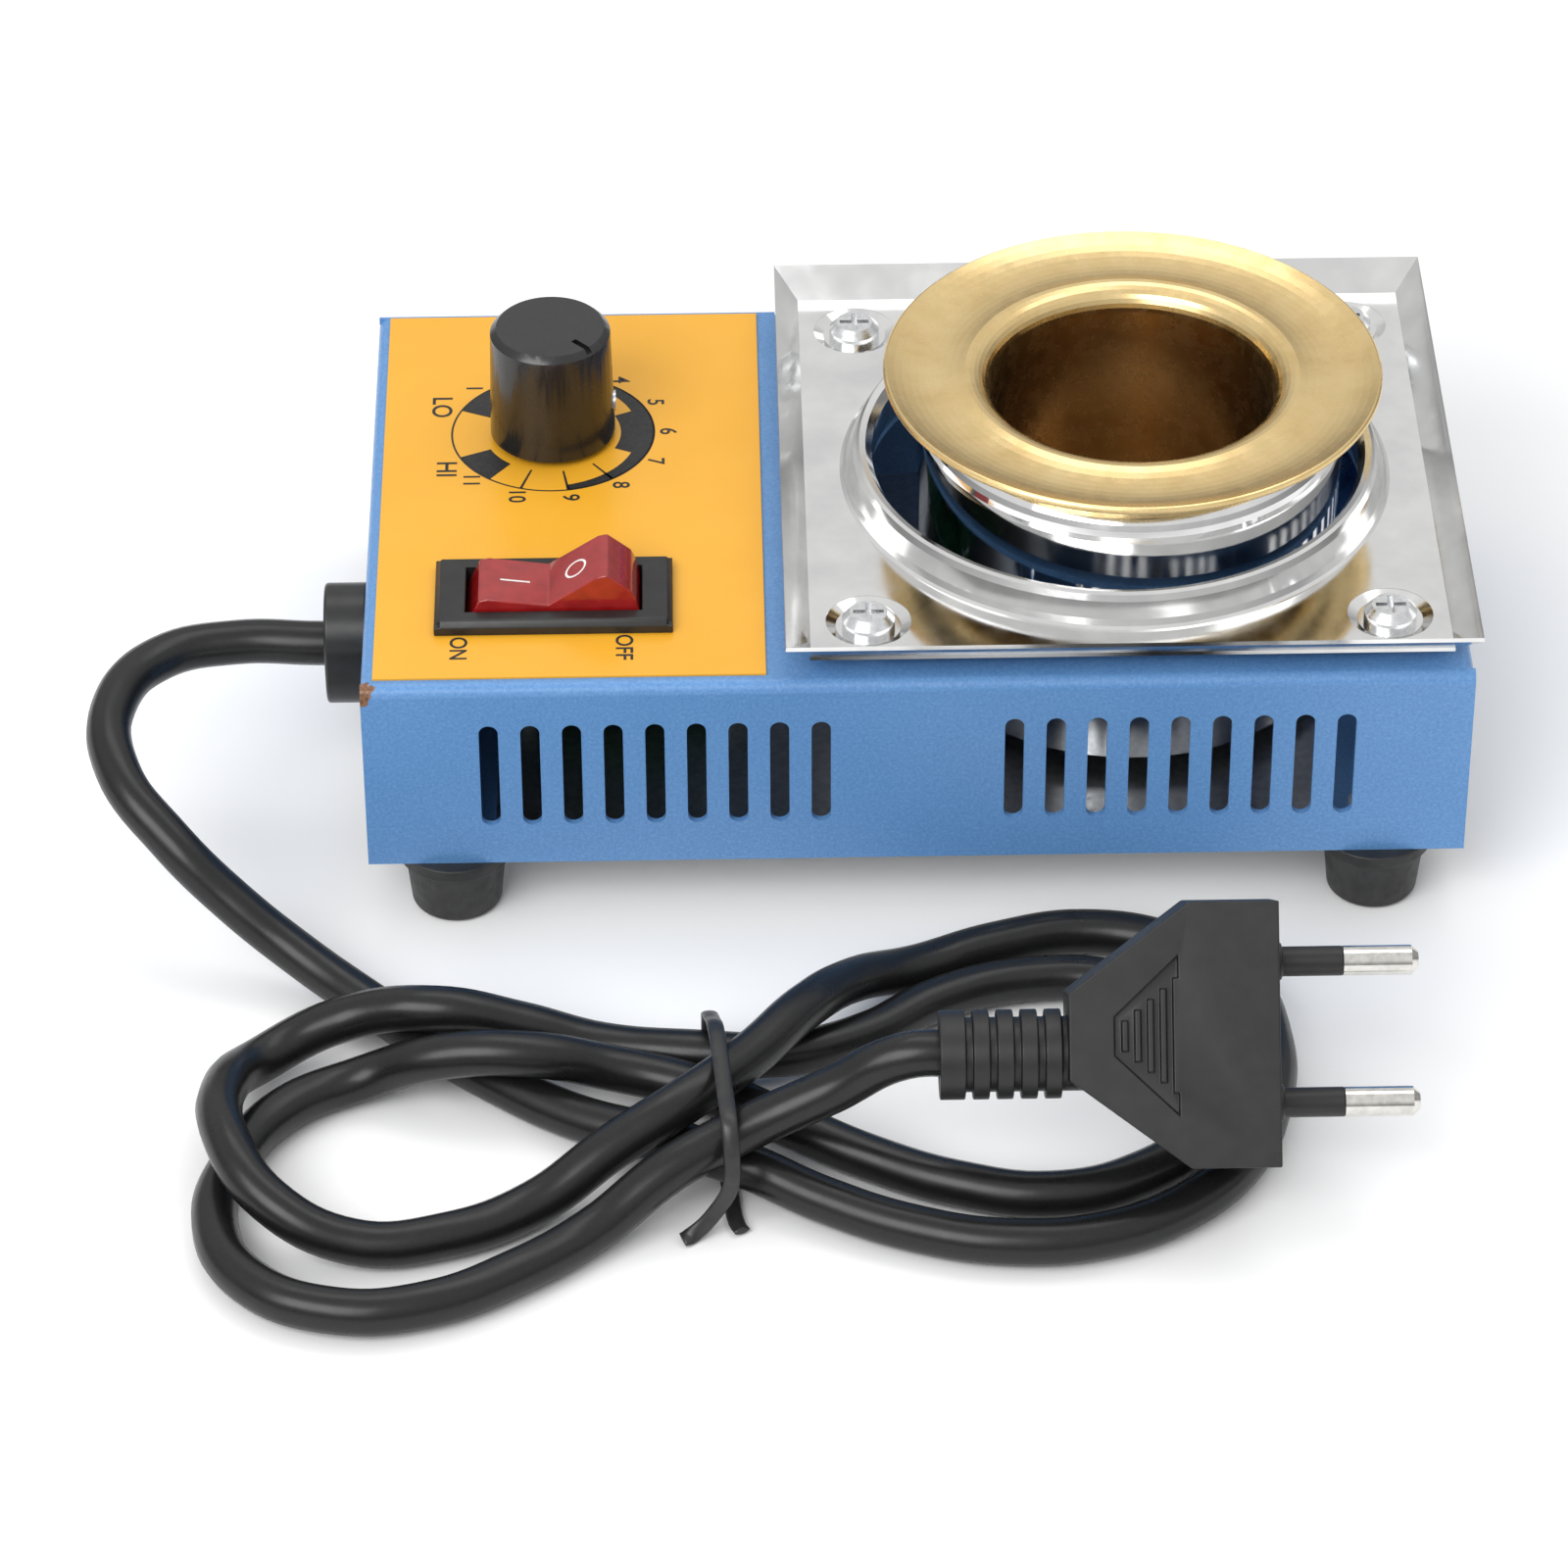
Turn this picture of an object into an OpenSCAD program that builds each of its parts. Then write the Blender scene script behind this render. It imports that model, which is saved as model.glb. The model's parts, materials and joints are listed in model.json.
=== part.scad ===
// Bench solder pot: folded steel housing, drip tray, flared pot in a polished can,
// temperature knob, rocker switch and a mains lead tied in a figure of eight.
// Millimetres, +Z up, origin at the middle of the footprint on the bench.

/* [Housing] */
// Width of the housing, left to right
housing_w = 155; // [145:1:175]
// Depth of the housing, front to back
housing_d = 94.6; // [92:0.2:110]
// Height of the housing walls
housing_h = 30.6; // [29:0.2:40]
// Thickness of the housing sheet
sheet = 1.0; // [0.8:0.1:1.4]
// Outer radius of the folded top edges
bend_r = 1.6; // [1.5:0.1:2.5]
// Open seam where two walls meet
seam = 0.4; // [0.2:0.1:0.8]
// Thickness of the base plate
plate_t = 1.0; // [0.8:0.1:1.5]
// Width of the turned-in flange at the foot of each end wall
lip_w = 18; // [16:0.5:22]

/* [Vents] */
// Slots in one group
slot_count = 9; // [5:1:10]
// Distance between slots
slot_pitch = 5.8; // [4.5:0.1:6.2]
// Width of a slot
slot_w = 2.7; // [2:0.1:3.4]
// Height of a slot over its round ends
slot_h = 17.4; // [12:0.2:19]
// Distance of each group's middle from the housing's middle
slot_group_x = 36.7; // [33:0.1:40]
// Depth of the slots' middle below the top
slot_drop = 15.2; // [14:0.2:17]

/* [Feet] */
// Height of a rubber foot
foot_h = 10.6; // [8:0.2:14]
// Radius of a foot's top flange
foot_flange_r = 8.2; // [7.6:0.1:9]
// Thickness of that flange
foot_flange_t = 2.0; // [1.2:0.1:3]
// Radius of a foot under its flange
foot_top_r = 7.2; // [6.6:0.1:7.5]
// Radius of a foot at the bench
foot_end_r = 6.2; // [5.6:0.1:6.5]
// Feet from the middle, left and right
foot_x = 65.4; // [60:0.2:66]
// Feet from the middle, front and back
foot_y = 41.3; // [36:0.1:41.5]

/* [Label] */
// Thickness of the label plate
label_t = 0.3; // [0.2:0.1:0.6]
// Left edge of the label plate from the middle
label_left = 75.8; // [70:0.1:75.8]
// Right edge of the label plate from the middle
label_right = 21.1; // [21:0.1:24]
// Front edge of the label plate from the middle
label_front = 45.0; // [42:0.1:45.5]
// Back edge of the label plate from the middle
label_back = 45.4; // [42:0.1:45.6]

/* [Tray] */
// Side of the drip tray over its flared rim
tray_w = 96.6; // [90:0.2:104]
// Middle of the tray, to the right of the housing's middle
tray_x = 29.85; // [27.5:0.05:31]
// Thickness of the tray sheet
tray_t = 0.6; // [0.4:0.1:0.8]
// Height of the tray's flat over the housing top
tray_z = 2.9; // [2.5:0.1:4]
// How far the rim flares out
flare_run = 3.5; // [2.5:0.1:4.5]
// How far the rim rises
flare_rise = 3.5; // [2.5:0.1:4.5]
// Clear radius inside the raised collar, more than the can's
collar_gap = 4.5; // [3.5:0.1:5]
// Radius of the collar's crest, more than its clear radius
collar_bead = 1.8; // [1.4:0.1:2.2]
// Run of the collar's outer slope
collar_slope = 2.8; // [2:0.1:3.2]
// Rise of the collar's crest over the flat
collar_rise = 4.6; // [3.5:0.1:5.5]
// Screws from the tray's middle, both ways
tray_screw = 36.5; // [36:0.1:38]
// Depth of the dimple under each screw
dimple = 0.8; // [0.4:0.1:1.2]

/* [Pot] */
// Middle of the pot, to the right of the housing's middle
pot_x = 32.0; // [30.5:0.1:32.5]
// Radius of the flared rim
rim_r = 35.6; // [33:0.1:37]
// Height of the rim over the housing top
rim_z = 20.6; // [19:0.2:26]
// Radius of the bowl
bowl_r = 20.4; // [18:0.1:20.6]
// Wall of the pot
pot_t = 1.2; // [0.8:0.1:1.5]
// Radius of the roll into the mouth
roll_r = 3.5; // [2.6:0.1:4]
// Drop from the lip to the crease where the dish turns into the roll
crease_drop = 0.9; // [0.5:0.1:1.5]
// Depth of the dish between crease and lip
dish_sag = 1.1; // [0.6:0.1:1.6]

/* [Can and heater] */
// Thickness of the insulating sleeve round the heater
sleeve_t = 4.8; // [4:0.1:5.5]
// Wall of the can
can_t = 0.8; // [0.5:0.1:1]
// Top of the can over the housing top
can_z = 15.6; // [14:0.2:17]
// Radius of the can's shoulder
can_shoulder = 4.5; // [3:0.1:5]
// Height of the spacer that carries the can
spacer_h = 3.2; // [2.5:0.1:4.5]
// Thickness of the insulating pad under the pot
pad_t = 3.2; // [3:0.1:4.5]
// Thickness of the heater band
band_t = 2.4; // [1.8:0.1:2.6]
// Height of the heater band
band_h = 26; // [20:0.5:28]

/* [Knob] */
// Knob middle from the housing's middle, to the left
knob_x = 51.2; // [48:0.1:54]
// Knob middle from the housing's middle, to the back
knob_y = 14.6; // [10:0.1:18]
// Radius of the knob at its top
knob_r = 8.7; // [8:0.1:10]
// Radius of the knob at its base
knob_base_r = 9.1; // [8.4:0.1:10.5]
// Top of the knob over the housing top
knob_z = 18.9; // [17:0.1:22]
// Gap between knob and label
knob_gap = 0.7; // [0.4:0.1:1.2]
// Radius of the control's shaft
shaft_r = 3.0; // [2.5:0.1:3]
// Angle of the knob's pointer from +X
pointer_deg = -47; // [-60:1:-30]

/* [Switch] */
// Switch middle from the housing's middle, to the left
switch_x = 50.7; // [48:0.1:53]
// Switch middle from the housing's middle, to the front
switch_y = 27.0; // [25:0.1:30]
// Length of the switch frame
bezel_l = 33.5; // [32:0.1:36]
// Width of the switch frame
bezel_w = 16.4; // [16:0.1:18]
// Height of the switch frame
bezel_h = 2.1; // [1.5:0.1:2.6]
// Radius of the rocker's round ends
rocker_r = 12.2; // [11.5:0.1:12.4]
// Width of the rocker
rocker_w = 10.2; // [9:0.1:10.4]
// Tilt of the rocker to each side
rocker_tilt = 13; // [9:1:14]

/* [Lead] */
// Diameter of the mains lead
cord_d = 6.4; // [5.6:0.1:6.6]
// Front-to-back place of the gland
gland_y = -18; // [-19:0.5:-17]
// Height of the gland over the bench
gland_z = 28; // [27:0.5:29]
// Height of the gland's head
gland_h = 18; // [16:0.2:19]
// Width of the gland's head
gland_w = 14; // [12:0.2:15]
// How far the gland stands out
gland_out = 6.2; // [5:0.1:7]
// Width of the plug over its long edge
plug_w = 35.3; // [34:0.1:36]
// Thickness of the plug
plug_t = 13.7; // [12.5:0.1:14.5]
// Distance between the pins
pin_gap = 18.8; // [18:0.1:19.4]
// Radius of the bare end of a pin
pin_r = 2.0; // [1.9:0.05:2.1]

/* [Hidden] */

clear = 0.3;            // gap between separate neighbours
fit = 0.05;             // radial running clearance
eps = 0.01;
$fn = 64;

// The frame sits at the middle of the footprint, and the tray overhangs the housing to the right.
overhang = max(0, tray_x + tray_w / 2 - housing_w / 2);
frame_x = -overhang / 2;
deck_z = foot_h + housing_h;
plate_top = -housing_h + plate_t;

// Rings round the pot, from the bowl out
pot_outer_r = bowl_r + pot_t;
band_in_r = pot_outer_r + clear;
sleeve_in_r = band_in_r + band_t + clear;
can_in_r = sleeve_in_r + sleeve_t + clear;
can_r = can_in_r + can_t;
collar_hole_r = can_r + collar_gap;
collar_r = collar_hole_r + collar_bead;
collar_foot_r = collar_r + collar_slope;

// Stack under the pot, from the base plate up
can_floor = plate_top + spacer_h;
pad_floor = can_floor + can_t;
pot_floor = pad_floor + pad_t;
deck_hole_r = collar_hole_r + 0.8;

// Fasteners
m4_r = 1.95;
m4_hole = 2.1;
m4_head_r = 3.7;
m4_head_h = 2.4;
m4_nut_r = 4.0;
m4_nut_h = 3.0;
bolt_r = 2.9;
bolt_hole = 3.1;

// Potentiometer
bush_r = 3.45;
bush_z = 3.4;
control_r = 8.3;
control_h = 9.5;
knob_recess_r = 6.7;
knob_recess_z = bush_z + 0.6;
set_screw_z = knob_recess_z + 1.9;

// Rocker switch
opening_l = 2 * rocker_r + 0.4;
opening_w = rocker_w + 0.6;
switch_wall = 1.3;
switch_depth = 13;
stud_r = 1.2;
rocker_ridge = 6.2;
rocker_dip = 3.2;
rocker_lip = 2.4;
rocker_base = 4.6;

// Gland
gland_neck_r = 6;

// Board
board_x = -41;
board_y = 10;
board_l = 38;
board_w = 48;
board_t = 1.6;
triac_t = 4.4;
pillar_h = 5;
board_z = plate_top + pillar_h;

// Plug, in its own frame: +X along the pins, Y across its width
plug_x = 0.5;
plug_y = -104.64;
plug_z = 25.1;
plug_tilt = 52.4;
grip_l = 15;
grip_r = 6.0;
grip_drop = 2.4;
flare_x = 17;
face_x = 45;
shoulder_x = 33;
sleeve_l = 9;
pin_l = 19;

// The lead's middle line, from the gland round the two loops to the plug
cord_points = [
  [-71, -18, 28], [-85, -18, 28], [-97, -17.5, 28], [-107.5, -21, 28], [-113.5, -31, 27.5],
  [-112.5, -43.5, 25], [-105, -52.5, 19.5], [-96.5, -57.5, 12.5], [-87, -62.5, 6.5],
  [-77.5, -70, 4], [-68.5, -78.5, 3.5], [-59, -87, 3.5], [-48.5, -94.5, 3.5],
  [-37, -100.5, 4.5], [-26, -106.5, 5], [-15, -113, 4], [-3, -118.5, 3.5], [9.5, -121.5, 3.5],
  [22, -120.5, 3.5], [33.5, -115, 3.5], [42, -105.5, 3.5], [46.5, -93, 3.5], [47.5, -80.5, 3.5],
  [44.5, -68, 3.5], [35.5, -59.5, 3.5], [23, -56, 3.5], [10.5, -58.5, 3.5], [-1, -64, 4],
  [-10, -71.5, 8], [-17, -81.5, 11.5], [-24.5, -92, 12], [-33, -101, 12], [-43, -107, 9],
  [-54, -113, 4], [-65.5, -118.5, 3.5], [-78, -120, 4], [-89, -116, 8], [-95, -106.5, 10.8],
  [-96, -94, 9], [-91.5, -83, 5], [-81, -78, 7.5], [-67.5, -80, 11], [-56, -80, 8],
  [-45, -80.5, 4.5], [-32.5, -83, 5], [-19.5, -83, 4.5], [-8.5, -78, 3.5], [2, -70.5, 3.5],
  [14, -66.5, 3.5], [27, -67.5, 3.5], [37, -75, 3.5], [40, -87.5, 3.5], [37, -99.5, 3.5],
  [27.5, -108.5, 3.5], [15.5, -112, 3.5], [3, -109.5, 3.5], [-8.5, -104, 3.5],
  [-20, -97.5, 4.5], [-31, -91, 5], [-43, -88, 6.5], [-54.5, -89.5, 10.5], [-66.5, -88.5, 9.5],
  [-78, -86.5, 4], [-88, -92, 3.5], [-94.5, -103, 3.5], [-96.5, -115.5, 3.5],
  [-91.5, -127, 3.5], [-80, -133, 3.5], [-67.5, -132, 3.5], [-56, -126, 3.5],
  [-46, -118.5, 4], [-35.5, -112, 9], [-25.5, -107.5, 12], [-14, -105.8, 17],
  [-4, -106.1, 23.2], [5.5, -106.1, 23.2]
];

// The tie's middle line, from one tail round the bundle at the crossing to the other tail
tie_r = 0.65;
tie_points = [
  [-34, -117, 0.8], [-32.6, -116.4, 1.2], [-30.2, -115.6, 3.4], [-27.5, -114.8, 8],
  [-27.3, -113.6, 13], [-27.6, -111, 16.4], [-28, -106, 16.4], [-28.6, -98, 16.6],
  [-29.2, -91, 16.2], [-29.6, -85, 12.5], [-30, -80.2, 9.6], [-30, -78.4, 7],
  [-30, -78.2, 3], [-29.8, -79.4, 0.75], [-29, -90, 0.75], [-28, -102, 0.75],
  [-27, -112.5, 0.75], [-26, -115.5, 0.8]
];

module on_deck() {
  translate([frame_x, 0, deck_z]) children();
}

module at_pot() {
  on_deck() translate([pot_x, 0, 0]) children();
}

module at_corners(x, y) {
  for (sx = [-1, 1], sy = [-1, 1]) translate([sx * x, sy * y, 0]) children();
}

module at_foot(sx, sy) {
  on_deck() translate([sx * foot_x, sy * foot_y, -housing_h]) children();
}

function arc(cx, cy, r, a0, a1, n) =
  [for (i = [0:n]) let (a = a0 + (a1 - a0) * i / n) [cx + r * cos(a), cy + r * sin(a)]];

function reversed(list) = [for (i = [len(list) - 1:-1:0]) list[i]];

module ring(r_out, r_in, h) {
  difference() {
    cylinder(r = r_out, h = h);
    translate([0, 0, -1]) cylinder(r = r_in, h = h + 2);
  }
}

module hex_nut(r, hole, h) {
  difference() {
    cylinder(r = r, h = h, $fn = 6);
    translate([0, 0, -1]) cylinder(r = hole, h = h + 2);
  }
}

// Obround slot through a wall, standing along Z, cut along Y
module slot_cut() {
  half = (slot_h - slot_w) / 2;
  rotate([90, 0, 0]) translate([0, 0, -3]) linear_extrude(height = 6) {
    square([slot_w, 2 * half], center = true);
    translate([0, half]) circle(d = slot_w, $fn = 32);
    translate([0, -half]) circle(d = slot_w, $fn = 32);
  }
}

module slot_group() {
  for (i = [0:slot_count - 1])
    translate([(i - (slot_count - 1) / 2) * slot_pitch, 0, -slot_drop]) slot_cut();
}

// Quarter-round fold along X, outside at -Y and +Z
module fold(length) {
  translate([-length / 2, 0, 0]) rotate([90, 0, 90]) linear_extrude(height = length)
    intersection() {
      difference() {
        circle(r = bend_r);
        circle(r = bend_r - sheet);
      }
      translate([-bend_r, 0]) square(bend_r);
    }
}

module long_wall() {
  translate([0, -housing_d / 2 + bend_r, -bend_r]) fold(housing_w);
  translate([-housing_w / 2, -housing_d / 2, -housing_h])
    cube([housing_w, sheet, housing_h - bend_r]);
}

module end_wall() {
  inner_d = housing_d - 2 * (sheet + seam);
  translate([-housing_w / 2 + bend_r, 0, -bend_r]) rotate([0, 0, -90]) fold(housing_d - 2 * bend_r);
  translate([-housing_w / 2, -inner_d / 2, -housing_h]) cube([sheet, inner_d, housing_h - bend_r]);
  translate([-housing_w / 2, -inner_d / 2, plate_top]) cube([lip_w, inner_d, sheet]);
}

module housing() {
  color("cornflowerblue") on_deck() difference() {
    union() {
      translate([-housing_w / 2 + bend_r, -housing_d / 2 + bend_r, -sheet])
        cube([housing_w - 2 * bend_r, housing_d - 2 * bend_r, sheet]);
      for (a = [0, 180]) rotate([0, 0, a]) {
        long_wall();
        end_wall();
      }
    }
    // front and back vents, and one group in the right end wall
    for (sy = [-1, 1], sx = [-1, 1])
      translate([sx * slot_group_x, sy * (housing_d - sheet) / 2, 0]) slot_group();
    translate([(housing_w - sheet) / 2, 0, 0]) rotate([0, 0, 90]) slot_group();
    // opening for the can, the tray screws, the control and the switch
    translate([tray_x, 0, -sheet - 1]) {
      cylinder(r = deck_hole_r, h = sheet + 2);
      at_corners(tray_screw, tray_screw) cylinder(r = m4_hole, h = sheet + 2);
    }
    translate([-knob_x, knob_y, -sheet - 1]) cylinder(r = bush_r + 0.15, h = sheet + 2);
    switch_hole(-sheet - 1, sheet + 2);
    // gland hole and the foot screws' holes
    translate([-housing_w / 2 - 1, gland_y, gland_z - deck_z]) rotate([0, 90, 0])
      cylinder(r = gland_neck_r + 0.1, h = sheet + 2);
    at_corners(foot_x, foot_y) translate([0, 0, -housing_h]) cylinder(r = m4_hole, h = 5);
  }
}

module switch_hole(z, h) {
  translate([-switch_x, -switch_y, z + h / 2])
    cube([opening_l + 2 * switch_wall + 0.4, opening_w + 2 * switch_wall + 0.4, h], center = true);
}

module base_plate() {
  inset = sheet + clear;
  color("gainsboro") on_deck() difference() {
    translate([-housing_w / 2 + inset, -housing_d / 2 + inset, -housing_h])
      cube([housing_w - 2 * inset, housing_d - 2 * inset, plate_t]);
    translate([0, 0, -housing_h - 1]) {
      at_corners(foot_x, foot_y) cylinder(r = m4_hole, h = plate_t + 2);
      translate([pot_x, 0, 0]) cylinder(r = bolt_hole, h = plate_t + 2);
    }
  }
}

module foot(sx, sy) {
  recess_r = m4_head_r + 0.5;
  recess_h = 4.2;
  color("#222325") at_foot(sx, sy) rotate_extrude() polygon([
    [m4_hole, 0], [foot_flange_r, 0], [foot_flange_r, -foot_flange_t],
    [foot_top_r, -foot_flange_t], [foot_end_r + 0.2, -foot_h + 0.6], [foot_end_r - 0.4, -foot_h],
    [recess_r, -foot_h], [recess_r, -foot_h + recess_h], [m4_hole, -foot_h + recess_h]
  ]);
}

module pan_screw(length, r = m4_r) {
  difference() {
    union() {
      cylinder(r = m4_head_r, h = m4_head_h * 0.55);
      translate([0, 0, m4_head_h * 0.55])
        cylinder(r1 = m4_head_r, r2 = m4_head_r * 0.72, h = m4_head_h * 0.45);
      translate([0, 0, -length]) cylinder(r = r, h = length + eps);
    }
    for (a = [0, 90]) rotate([0, 0, a]) translate([0, 0, m4_head_h])
      cube([m4_head_r * 1.15, 0.8, 2.2], center = true);
  }
}

module foot_screws() {
  grip = foot_h - 4.2 + plate_t + sheet + m4_nut_h;
  color("silver") for (sx = [-1, 1], sy = [-1, 1]) at_foot(sx, sy)
    translate([0, 0, -foot_h + 4.2]) rotate([180, 0, 0]) pan_screw(grip + 0.5);
}

module foot_nuts() {
  color("silver") for (sx = [-1, 1], sy = [-1, 1]) at_foot(sx, sy)
    translate([0, 0, plate_t + sheet]) hex_nut(m4_nut_r, m4_r + fit, m4_nut_h);
}

module label_plate() {
  color("#f3b62b") on_deck() difference() {
    translate([-label_left, -label_front, 0])
      cube([label_left - label_right, label_front + label_back, label_t]);
    translate([-knob_x, knob_y, -1]) cylinder(r = bush_r + 0.15, h = 3);
    switch_hole(-1, 3);
  }
}

// One flared side of the tray's rim, at -Y, mitred at both ends
module tray_flare() {
  half = tray_w / 2;
  flat = half - flare_run;
  intersection() {
    translate([-half, 0, 0]) rotate([90, 0, 90]) linear_extrude(height = tray_w) polygon([
      [-flat, tray_z], [-half, tray_z + flare_rise], [-half + 0.1, tray_z + flare_rise + tray_t],
      [-half + tray_t, tray_z + flare_rise], [-flat + tray_t, tray_z - tray_t], [-flat, tray_z - tray_t]
    ]);
    linear_extrude(height = 20) polygon([[0, 0], [-half, -half], [half, -half]]);
  }
}

// Section of the raised collar, from its foot over the crest and down inside
function collar_line(t) = concat(
  [[collar_foot_r + 1.5, tray_z - tray_t + t]],
  [for (i = [0:6]) let (u = i / 6)
    [collar_foot_r - u * (collar_foot_r - collar_r),
     tray_z - tray_t + t + collar_rise * (1 - cos(180 * u)) / 2]],
  [[collar_r - 0.9, tray_z - tray_t + t + collar_rise - 0.3]]);

module drip_tray() {
  flat = tray_w / 2 - flare_run;
  roll = (collar_r - 0.9 - collar_hole_r);
  color("gainsboro") on_deck() translate([tray_x, 0, 0]) {
    difference() {
      translate([-flat, -flat, tray_z - tray_t]) cube([2 * flat, 2 * flat, tray_t]);
      translate([0, 0, tray_z - 3]) cylinder(r = collar_foot_r + 1, h = 6);
      at_corners(tray_screw, tray_screw) translate([0, 0, tray_z - 3]) cylinder(r = 6, h = 6);
    }
    for (a = [0:90:270]) rotate([0, 0, a]) tray_flare();
    rotate_extrude($fn = 96) polygon(concat(
      collar_line(tray_t),
      [[collar_r - 0.9 - roll, tray_z + collar_rise - 1.6],
       [collar_hole_r, tray_z - 0.8], [collar_hole_r + tray_t, tray_z - 0.8],
       [collar_hole_r + tray_t, tray_z + collar_rise - 1.8 - tray_t]],
      reversed(collar_line(0))));
    // dimples with the screw holes
    at_corners(tray_screw, tray_screw) rotate_extrude() polygon([
      [m4_hole, tray_z - dimple], [4.6, tray_z - dimple], [6.1, tray_z], [6.1, tray_z - tray_t],
      [4.8, tray_z - tray_t - dimple], [m4_hole, tray_z - tray_t - dimple]
    ]);
  }
}

module tray_spacers() {
  color("silver") on_deck() translate([tray_x, 0, 0]) at_corners(tray_screw, tray_screw)
    ring(4.2, m4_hole, tray_z - tray_t - dimple);
}

module tray_screws() {
  color("silver") on_deck() translate([tray_x, 0, tray_z - dimple])
    at_corners(tray_screw, tray_screw)
      pan_screw(tray_z - dimple + sheet + m4_nut_h + 0.6);
}

module tray_nuts() {
  color("silver") on_deck() translate([tray_x, 0, -sheet - m4_nut_h])
    at_corners(tray_screw, tray_screw) hex_nut(m4_nut_r, m4_r + fit, m4_nut_h);
}

// Upper line of the pot's section from the crease over the dish to the lip
crease_r = bowl_r + roll_r;
function dish(t) = [for (i = [1:10]) let (u = i / 10)
  [crease_r + (rim_r - 0.5 - crease_r) * u,
   rim_z - t - crease_drop * (1 - u) - 4 * dish_sag * u * (1 - u)]];

module solder_pot() {
  roll_z = rim_z - crease_drop - roll_r;
  color("#c8a24a") at_pot() rotate_extrude($fn = 96) polygon(concat(
    [[0, pot_floor + pot_t]],
    arc(bowl_r - 4, pot_floor + pot_t + 4, 4, -90, 0, 6),
    arc(crease_r, roll_z, roll_r, 180, 90, 8),
    dish(0),
    arc(rim_r - 0.6, rim_z - 0.6, 0.6, 60, -60, 4),
    reversed(dish(pot_t)),
    arc(crease_r, roll_z, roll_r - pot_t, 90, 180, 8),
    arc(bowl_r - 4, pot_floor + pot_t + 4, 4 + pot_t, 0, -90, 6)));
}

module heater_band() {
  r_in = band_in_r;
  z0 = pot_floor + 5;
  color("#8d8f92") at_pot() difference() {
    union() {
      translate([0, 0, z0]) ring(r_in + band_t, r_in, band_h);
      translate([-3, r_in + 0.6, z0 + 8]) cube([6, 6.4 - 0.6, 10]);
    }
    translate([-1, r_in - 2, z0 - 1]) cube([2, band_t + 9, band_h + 2]);
    translate([-4, r_in + 4.4, z0 + 13]) rotate([0, 90, 0]) cylinder(r = 1.25, h = 8);
  }
}

module band_screw() {
  r_in = band_in_r;
  color("silver") at_pot() translate([-3, r_in + 4.4, pot_floor + 18]) rotate([0, 90, 0]) {
    translate([0, 0, -1.4]) cylinder(r = 1.9, h = 1.4);
    cylinder(r = 1.2, h = 7.4);
  }
}

module insulation_sleeve() {
  color("#e9e4d6") at_pot() difference() {
    translate([0, 0, pot_floor]) ring(can_in_r - clear, sleeve_in_r, can_z - can_shoulder - pot_floor);
    translate([-6, 0, pot_floor + 4]) cube([12, can_r + 2, band_h + 20]);
  }
}

module insulation_pad() {
  color("#e9e4d6") at_pot() translate([0, 0, pad_floor]) ring(can_in_r - clear, 7, pad_t);
}

module can() {
  hole = pot_outer_r + clear;
  corner = can_r - can_shoulder;
  color("whitesmoke") at_pot() difference() {
    rotate_extrude($fn = 96) polygon(concat(
      [[bolt_hole, can_floor], [can_r, can_floor]],
      arc(corner, can_z - can_shoulder, can_shoulder, 0, 90, 8),
      [[hole, can_z], [hole, can_z - can_t]],
      arc(corner, can_z - can_shoulder, can_shoulder - can_t, 90, 0, 8),
      [[can_in_r, pad_floor], [bolt_hole, pad_floor]]));
    // way out for the heater's leads, below the housing top
    translate([0, can_r, -14]) cube([8, 6, 8], center = true);
  }
}

module can_spacer() {
  color("ivory") at_pot() translate([0, 0, plate_top]) ring(11, bolt_hole, spacer_h);
}

module can_bolt() {
  length = plate_t + spacer_h + can_t + 2.9;
  color("silver") at_pot() translate([0, 0, -housing_h]) {
    translate([0, 0, -2.8]) difference() {
      cylinder(r = 5, h = 2.8);
      translate([0, 0, -1]) cylinder(r = 2.4, h = 2.6, $fn = 6);
    }
    cylinder(r = bolt_r, h = length);
  }
}

module can_nut() {
  color("silver") at_pot() translate([0, 0, pad_floor]) hex_nut(5.6, bolt_r + fit, 2.8);
}

module knob() {
  z0 = label_t + knob_gap;
  color("#1c1c1e") on_deck() translate([-knob_x, knob_y, 0]) difference() {
    rotate_extrude($fn = 96) polygon([
      [0, z0], [knob_base_r - 0.3, z0], [knob_base_r, z0 + 0.3],
      [knob_r, knob_z - 0.9], [knob_r - 0.9, knob_z], [0, knob_z]
    ]);
    translate([0, 0, z0 - 1]) cylinder(r = knob_recess_r, h = knob_recess_z - z0 + 1);
    cylinder(r = shaft_r + 0.02, h = knob_z - 3.6);
    rotate([0, 0, pointer_deg]) translate([5, -0.45, knob_z - 0.7]) cube([8, 0.9, 2]);
    translate([0, 0, set_screw_z]) rotate([0, 90, 0]) cylinder(r = 1.55, h = 12);
  }
}

module knob_set_screw() {
  color("#2a2a2c") on_deck() translate([-knob_x, knob_y, set_screw_z]) rotate([0, 90, 0])
    translate([0, 0, shaft_r + 0.05]) difference() {
      cylinder(r = 1.5, h = knob_base_r - shaft_r + 0.1);
      translate([0, 0, knob_base_r - shaft_r - 1.4]) cube([0.6, 4, 3.2], center = true);
    }
}

module control_shaft() {
  bottom = -sheet - control_h + 3;
  color("lightgray") on_deck() translate([-knob_x, knob_y, bottom])
    cylinder(r = shaft_r, h = knob_z - 4 - bottom);
}

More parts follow.
